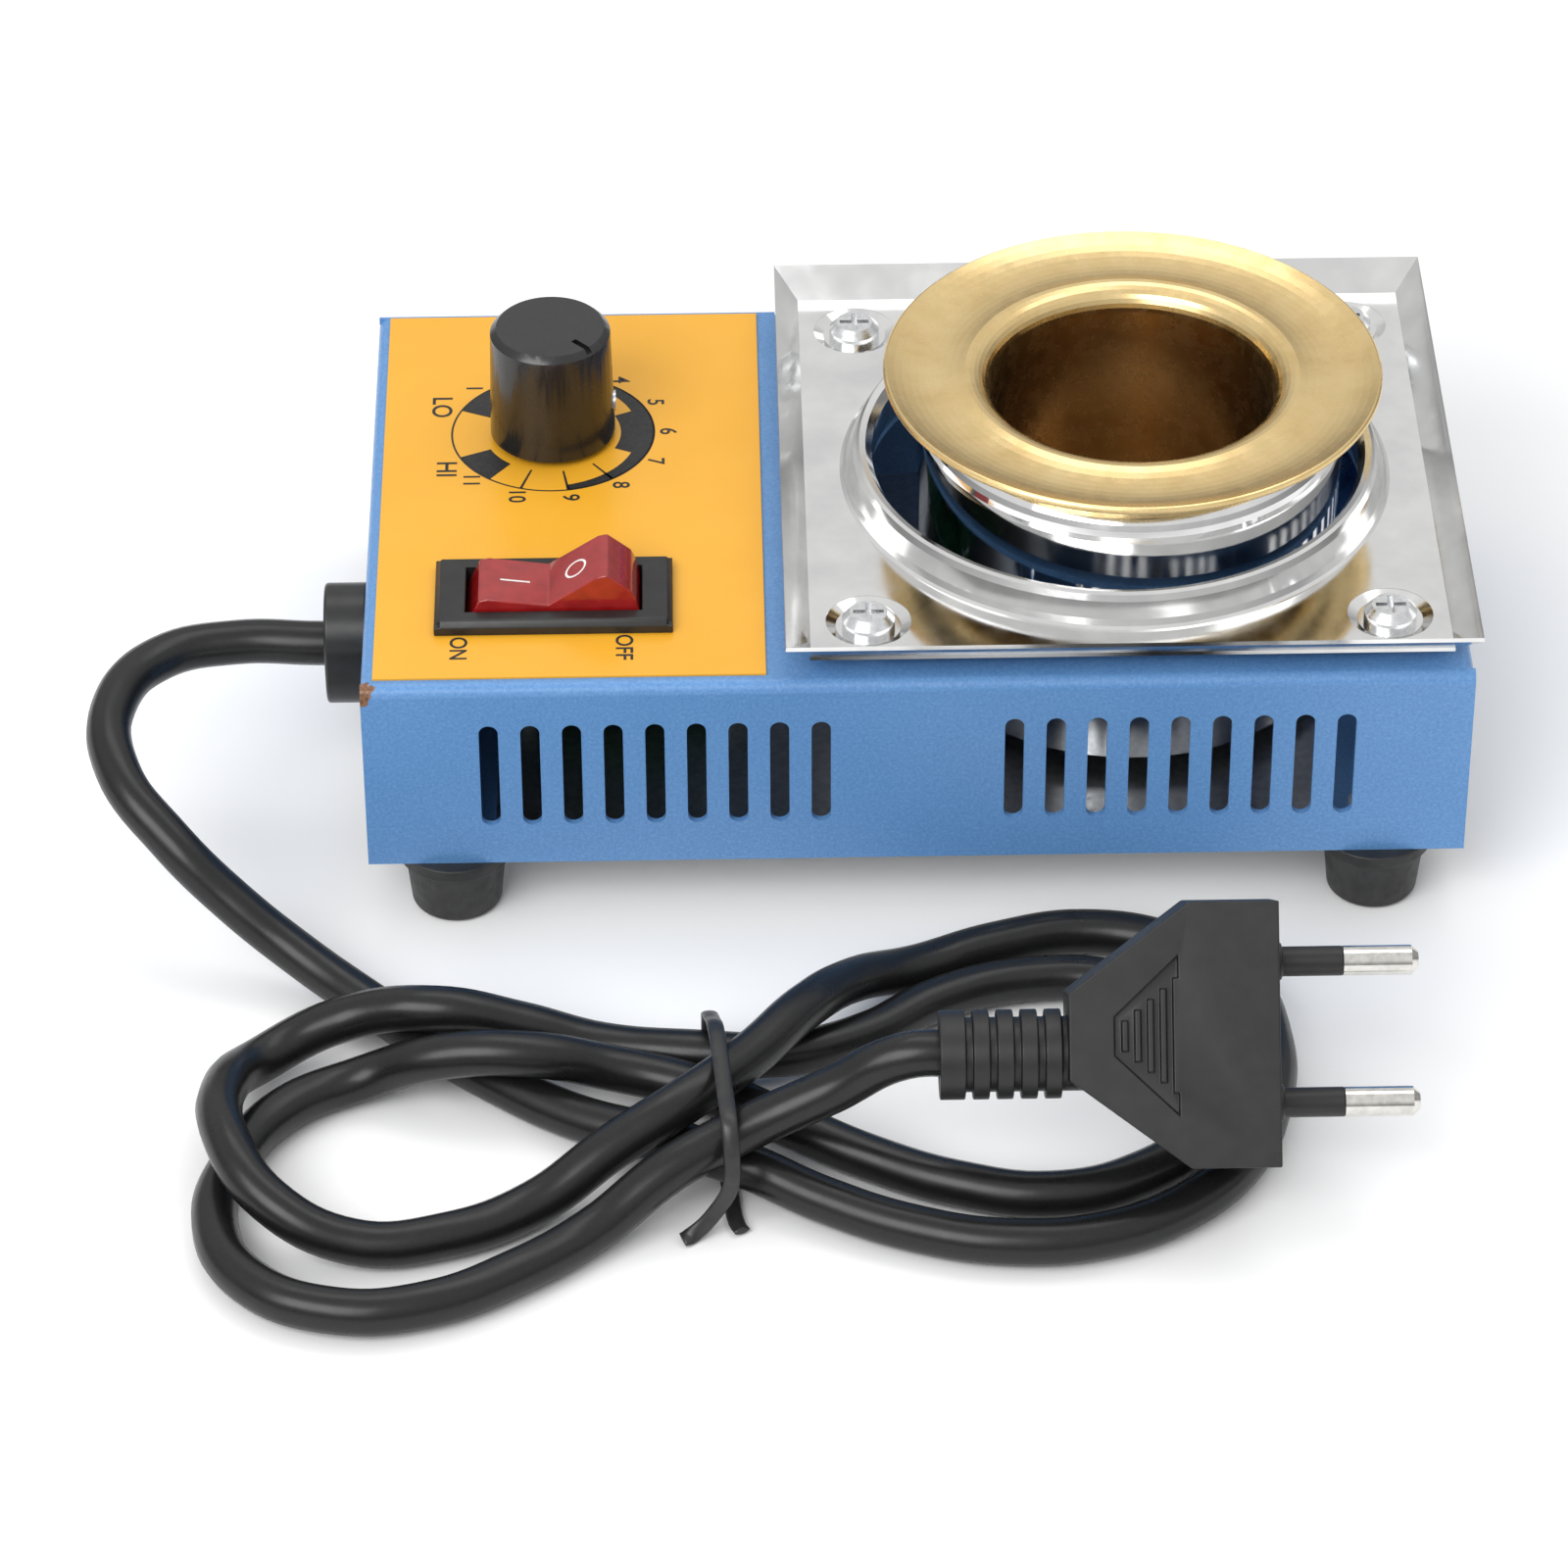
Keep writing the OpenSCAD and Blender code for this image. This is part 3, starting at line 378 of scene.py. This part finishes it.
LEAD_D = 6.4 * MM
LEAD_POINTS = [
    (-71, -18, 28), (-85, -18, 28), (-97, -17.5, 28), (-107.5, -21, 28), (-113.5, -31, 27.5),
    (-112.5, -43.5, 25), (-105, -52.5, 19.5), (-96.5, -57.5, 12.5), (-87, -62.5, 6.5),
    (-77.5, -70, 4), (-68.5, -78.5, 3.5), (-59, -87, 3.5), (-48.5, -94.5, 3.5),
    (-37, -100.5, 4.5), (-26, -106.5, 5), (-15, -113, 4), (-3, -118.5, 3.5), (9.5, -121.5, 3.5),
    (22, -120.5, 3.5), (33.5, -115, 3.5), (42, -105.5, 3.5), (46.5, -93, 3.5), (47.5, -80.5, 3.5),
    (44.5, -68, 3.5), (35.5, -59.5, 3.5), (23, -56, 3.5), (10.5, -58.5, 3.5), (-1, -64, 4),
    (-10, -71.5, 8), (-17, -81.5, 11.5), (-24.5, -92, 12), (-33, -101, 12), (-43, -107, 9),
    (-54, -113, 4), (-65.5, -118.5, 3.5), (-78, -120, 4), (-89, -116, 8), (-95, -106.5, 10.8),
    (-96, -94, 9), (-91.5, -83, 5), (-81, -78, 7.5), (-67.5, -80, 11), (-56, -80, 8),
    (-45, -80.5, 4.5), (-32.5, -83, 5), (-19.5, -83, 4.5), (-8.5, -78, 3.5), (2, -70.5, 3.5),
    (14, -66.5, 3.5), (27, -67.5, 3.5), (37, -75, 3.5), (40, -87.5, 3.5), (37, -99.5, 3.5),
    (27.5, -108.5, 3.5), (15.5, -112, 3.5), (3, -109.5, 3.5), (-8.5, -104, 3.5),
    (-20, -97.5, 4.5), (-31, -91, 5), (-43, -88, 6.5), (-54.5, -89.5, 10.5), (-66.5, -88.5, 9.5),
    (-78, -86.5, 4), (-88, -92, 3.5), (-94.5, -103, 3.5), (-96.5, -115.5, 3.5),
    (-91.5, -127, 3.5), (-80, -133, 3.5), (-67.5, -132, 3.5), (-56, -126, 3.5),
    (-46, -118.5, 4), (-35.5, -112, 9), (-25.5, -107.5, 12), (-14, -105.8, 17),
    (-4, -106.1, 23.2), (5.5, -106.1, 23.2),
]
TIE_POINTS = [
    (-34, -117, 0.8), (-32.6, -116.4, 1.2), (-30.2, -115.6, 3.4), (-27.5, -114.8, 8),
    (-27.3, -113.6, 13), (-27.6, -111, 16.4), (-28, -106, 16.4), (-28.6, -98, 16.6),
    (-29.2, -91, 16.2), (-29.6, -85, 12.5), (-30, -80.2, 9.6), (-30, -78.4, 7),
    (-30, -78.2, 3), (-29.8, -79.4, 0.75), (-29, -90, 0.75), (-28, -102, 0.75),
    (-27, -112.5, 0.75), (-26, -115.5, 0.8),
]


def smooth_curve(name, points, radius, finish, body="base"):
    """A round cord on one smooth open curve through the points."""
    curve = bpy.data.curves.new(name, "CURVE")
    curve.dimensions = "3D"
    curve.resolution_u, curve.bevel_depth, curve.bevel_resolution = 8, radius, 5
    curve.use_fill_caps = True
    spline = curve.splines.new("BEZIER")
    spline.bezier_points.add(len(points) - 1)
    for knot, place in zip(spline.bezier_points, points):
        knot.co = Vector(place) * MM
        knot.handle_left_type = knot.handle_right_type = "AUTO"
    curve.materials.append(finish.material)
    piece = bpy.data.objects.new(name, curve)
    bpy.context.scene.collection.objects.link(piece)
    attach(piece, body)
    return piece


def flat_shapes(name, outlines, plane, finish, body="base", thick=0.03 * MM):
    """Flat printed shapes, each a closed outline in mm, laid on a plane given as a matrix."""
    work = bmesh.new()
    for outline in outlines:
        face = work.faces.new([work.verts.new((x * MM, y * MM, thick)) for x, y in outline])
        if face.normal.z < 0:
            face.normal_flip()
    bmesh.ops.triangulate(work, faces=work.faces[:])
    work.transform(plane)
    return add_piece(name, mesh_from(name, work), finish, body)


def band(inner, outer, start, end, steps=24):
    """Outline of a ring piece; inner and outer are radii or functions of the angle."""
    angles = [start + (end - start) * i / steps for i in range(steps + 1)]

    def line(radius, turn):
        return [((radius(a) if callable(radius) else radius) * math.cos(math.radians(a)),
                 (radius(a) if callable(radius) else radius) * math.sin(math.radians(a))) for a in turn]

    return line(outer, angles) + line(inner, angles[::-1])


CAP_SHARE = 0.70         # cap height of the built-in font, as a share of its size
STROKE = 0.045 * MM      # how far the letters are thickened


def lettering(name, words, plane, finish, body="base", thick=0.03 * MM):
    """Plain printed words; each is (text, x, y, turn in degrees, cap height), in mm."""
    work = bmesh.new()
    for text, x, y, turn, height in words:
        curve = bpy.data.curves.new(name, "FONT")
        curve.body, curve.size = text, height / CAP_SHARE * MM
        curve.align_x, curve.align_y = "CENTER", "CENTER"
        curve.offset = STROKE
        maker = bpy.data.objects.new(name + "_maker", curve)
        shape = maker.to_mesh()
        place = Matrix.Translation((x * MM, y * MM, thick))
        shape.transform(place @ Matrix.Rotation(math.radians(turn), 4, "Z"))
        work.from_mesh(shape)
        maker.to_mesh_clear()
        bpy.data.objects.remove(maker)
        bpy.data.curves.remove(curve)
    work.transform(plane)
    return add_piece(name, mesh_from(name, work), finish, body)


def make_lead():
    """The mains lead, from the gland round its two loops to the plug."""
    lead = smooth_curve("mains_lead", LEAD_POINTS, LEAD_D / 2, lead_sheath())
    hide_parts("power_cord")
    return lead


def sampled(points, steps):
    """Points on a smooth line through the given ones, so many steps to a span."""
    fine = []
    for i, (a, b) in enumerate(zip(points, points[1:])):
        before, after = points[max(i - 1, 0)], points[min(i + 2, len(points) - 1)]
        for k in range(steps):
            t = k / steps
            fine.append(0.5 * (2 * a + (b - before) * t + (2 * before - 5 * a + 4 * b - after) * t * t
                               + (3 * a - before - 3 * b + after) * t ** 3))
    return fine + [points[-1]]


def make_tie():
    """A flat plastic-coated strip round the crossing, its two tails in front."""
    half_w, half_t = 1.15, 0.42                  # mm
    turns = [math.radians(d) for d in range(0, 360, 30)]
    line = sampled([Vector(p) for p in TIE_POINTS], 4)
    work = bmesh.new()
    rings = []
    for i, here in enumerate(line):
        along = (line[min(i + 1, len(line) - 1)] - line[max(i - 1, 0)]).normalized()
        wide = Vector((1, 0, 0)) - along * along.x
        wide.normalize()
        out = along.cross(wide)
        rings.append([])
        for a in turns:
            corner = here + wide * (half_w * math.cos(a)) + out * (half_t * math.sin(a))
            rings[-1].append(work.verts.new(corner * MM))
    for a, b in zip(rings, rings[1:]):
        for k in range(len(a)):
            j = (k + 1) % len(a)
            work.faces.new((a[k], a[j], b[j], b[k]))
    work.faces.new(rings[0][::-1])
    work.faces.new(rings[-1])
    bmesh.ops.recalc_face_normals(work, faces=work.faces[:])
    plastic = moulded("tie_plastic", 0.012, 0.028, (0.30, 0.45), 0.5 * MM)
    tie = add_piece("lead_tie", mesh_from("lead_tie", work), plastic, smooth=True)
    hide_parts("cord_tie")
    return tie


def over_label(node):
    """A plane on top of the label, centred over the node."""
    low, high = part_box(node)
    return Matrix.Translation(Vector(((low.x + high.x) / 2, (low.y + high.y) / 2, top_of("label_plate"))))


def print_dial():
    """Scale round the knob and the words by the switch, lettered to be read from the left."""
    ring, line = 14.75, 0.14                     # radius of the circle and half its width
    inside = 9.9                                 # radius where the marks begin
    step, middle = 27, 6                         # degrees between two numbers, and the number at 0 degrees
    tick = math.degrees(0.16 / 12)               # half a tick's width, as an angle
    number_r, word_r, sideways = 16.7, 17.9, -90
    black = ink()

    def crescent(a):
        """Inner edge of a black crescent, which thins out away from the middle number."""
        return 12.6 + 0.85 * (abs(a) - step) / (2 * step)

    shapes = [band(ring - line, ring + line, a, a + 30) for a in range(0, 360, 30)]
    shapes += [band(inside, ring, -25, 25),
               band(crescent, ring, 25, 81, 30), band(crescent, ring, -81, -25, 30),
               band(inside, ring - 0.1, 128, 156), band(inside, ring - 0.1, -156, -128)]
    for angle in (count * step for count in (-4, -3, -2, 2, 3, 4)):
        shapes.append(band(inside, ring, angle - tick, angle + tick, 2))
    flat_shapes("dial_scale", shapes, over_label("control_shaft"), black)

    def set_round(text, angle, radius, height):
        """One word of the scale, centred at that angle and radius."""
        return text, radius * math.cos(angle), radius * math.sin(angle), sideways, height

    words = [set_round(str(number), math.radians((middle - number) * step), number_r, 2.4)
             for number in range(1, 12)]
    words += [set_round(word, math.radians(angle), word_r, 2.9)
              for word, angle in (("LO", 157), ("HI", -150))]
    lettering("dial_numbers", words, over_label("control_shaft"), black)
    lettering("switch_words", [("ON", -13.4, -11.2, sideways, 2.4), ("OFF", 9.8, -11.4, sideways, 2.4)],
              over_label("switch_body"), black)


def print_rocker():
    """White I and O on the rocker's two sloping faces."""
    tilt = math.radians(-13)                     # of the rocker at rest
    dip, rise, run = 3.2, 3.0, 7.9               # height of the dip over the pivot, rise and run of each face
    mark_at, thick = 4.4, 0.04 * MM              # distance of the marks from the middle, depth of the print
    joint = next(j for j in frame["joints"] if j["child"] == "rocker_body")
    pivot = Matrix.Translation(Vector(joint["pos_m"])) @ Matrix.Rotation(tilt, 4, "Y")
    slope = math.atan2(rise, run)
    white = white_ink()

    def on_face(side):
        """A plane on the face at that side, where its mark goes."""
        place = Vector((side * mark_at, 0, dip + mark_at * math.tan(slope))) * MM
        return pivot @ Matrix.Translation(place) @ Matrix.Rotation(-side * slope, 4, "Y")

    bar = [(-2.1, -0.17), (2.1, -0.17), (2.1, 0.17), (-2.1, 0.17)]
    flat_shapes("rocker_on_mark", [bar], on_face(-1), white, "rocker_body", thick)
    hoop = [band(1.45, 1.8, a, a + 30, 6) for a in range(0, 360, 30)]
    flat_shapes("rocker_off_mark", hoop, on_face(1), white, "rocker_body", thick)


def dress():
    """Gives every CAD node its finish and rounds the moulded pieces; hands back the two on the lead."""
    plated = bright_plate()
    black = moulded("black_moulding", 0.010, 0.018, (0.36, 0.44), 0.35 * MM)
    rubber = moulded("foot_rubber", 0.012, 0.030, (0.45, 0.62), 0.4 * MM)
    paint(powder_coat(), "housing")
    paint(printed_yellow(), "label_plate")
    paint(polished_sheet(), "drip_tray")
    paint(mirror_can(), "can")
    paint(gold_pot(), "solder_pot")
    paint(plated, "tray_screws", "tray_spacers", "tray_nuts", "foot_screws", "foot_nuts", "can_bolt",
          "can_nut", "band_screw", "control_nut", "board_pillars", "board_screws", "knob_set_screw")
    paint(bright_plate("zinc_sheet", (0.62, 0.64, 0.66), (0.32, 0.48)), "base_plate", "heater_band",
          "control_shaft", "heatsink")
    paint(bright_plate("nickel_pin", (0.76, 0.74, 0.70), (0.10, 0.22)), "plug_pin_1", "plug_pin_2")
    paint(bright_plate("stamped_brass", (0.72, 0.52, 0.24), (0.25, 0.4)), "switch_terminals")
    paint(fibre(), "insulation_sleeve", "insulation_pad", "can_spacer")
    paint(board_finish(), "control_board")
    paint(moulded("green_block", (0.02, 0.14, 0.05), (0.04, 0.22, 0.09), (0.4, 0.55), 0.4 * MM),
          "terminal_block")
    paint(moulded("dipped_film", (0.24, 0.05, 0.02), (0.36, 0.09, 0.04), (0.25, 0.4), 0.6 * MM), "capacitor")
    paint(black, "triac", "control_body")
    for number in range(1, 5):
        softened(f"foot_{number}", rubber, 0.35 * MM)
    knob_black = moulded("knob_black", 0.009, 0.013, (0.24, 0.29), 0.5 * MM, coat=0.2)
    softened("knob", knob_black, 0.18 * MM, "knob_body")
    softened("switch_body", black, 0.18 * MM)
    softened("rocker", red_lens(), 0.25 * MM, "rocker_body")
    gland_black = moulded("gland_black", 0.011, 0.018, (0.32, 0.38), 0.4 * MM)
    gland = softened("cord_gland", gland_black, 0.7 * MM)
    plug_black = moulded("plug_black", 0.007, 0.013, (0.40, 0.47), 0.3 * MM)
    plug = softened("plug_body", plug_black, 0.3 * MM)
    return gland, plug


# ---------------------------------------------------------------- stage and light

def make_floor():
    """A wide pale floor, just under the feet."""
    half, sunk = 6, 0.05 * MM
    f = Finish("pale_floor", Specular_IOR_Level=0.1, Roughness=0.9)
    f.colour(f.ramp(f.noise(0.4, 2), [(0.3, 0.93), (0.7, 0.95)]))
    work = bmesh.new()
    bmesh.ops.create_grid(work, x_segments=4, y_segments=4, size=half)
    mesh = mesh_from("floor", work)
    mesh.materials.append(f.material)
    floor = bpy.data.objects.new("floor", mesh)
    bpy.context.scene.collection.objects.link(floor)
    floor.location.z = -sunk


AIM = Vector((0, -0.03, 0.03))       # what both lights face, metres


def make_light(name, place, size, power):
    """A soft rectangular light; place and size in metres, power in watts."""
    data = bpy.data.lights.new(name, "AREA")
    data.shape, data.size, data.size_y, data.energy = "RECTANGLE", size[0], size[1], power
    light = bpy.data.objects.new(name, data)
    bpy.context.scene.collection.objects.link(light)
    light.location = place
    light.rotation_mode = "QUATERNION"
    light.rotation_quaternion = (AIM - Vector(place)).to_track_quat("-Z", "Y")


def make_world():
    """Soft white surround, a little darker towards the horizon so that polished metal has shape."""
    world = bpy.data.worlds.new("soft_surround")
    world.use_nodes = True
    tree = world.node_tree
    sky = tree.nodes["Background"]
    place = tree.nodes.new("ShaderNodeTexCoord")
    split = tree.nodes.new("ShaderNodeSeparateXYZ")
    ramp = tree.nodes.new("ShaderNodeValToRGB")
    for element, (at, grey) in zip(ramp.color_ramp.elements, ((0.05, 0.30), (0.55, 1.0))):
        element.position, element.color = at, (grey, grey, grey, 1)
    tree.links.new(place.outputs["Generated"], split.inputs[0])
    tree.links.new(split.outputs["Z"], ramp.inputs["Fac"])
    tree.links.new(ramp.outputs["Color"], sky.inputs["Color"])
    sky.inputs["Strength"].default_value = 0.85
    bpy.context.scene.world = world


make_camera()
lead = make_lead()
tie = make_tie()
gland, plug = dress()
print_dial()
print_rocker()
make_floor()
make_light("key", (-0.55, -0.85, 0.85), (0.9, 0.7), 10)
make_light("top", (0.15, 0.35, 1.2), (1.2, 0.5), 3)
make_world()
bpy.context.scene.view_settings.view_transform = "Standard"

missed = sorted(set(NODES) - PAINTED - {"power_cord", "cord_tie"})
if missed:
    raise SystemExit(f"no finish on {missed}")
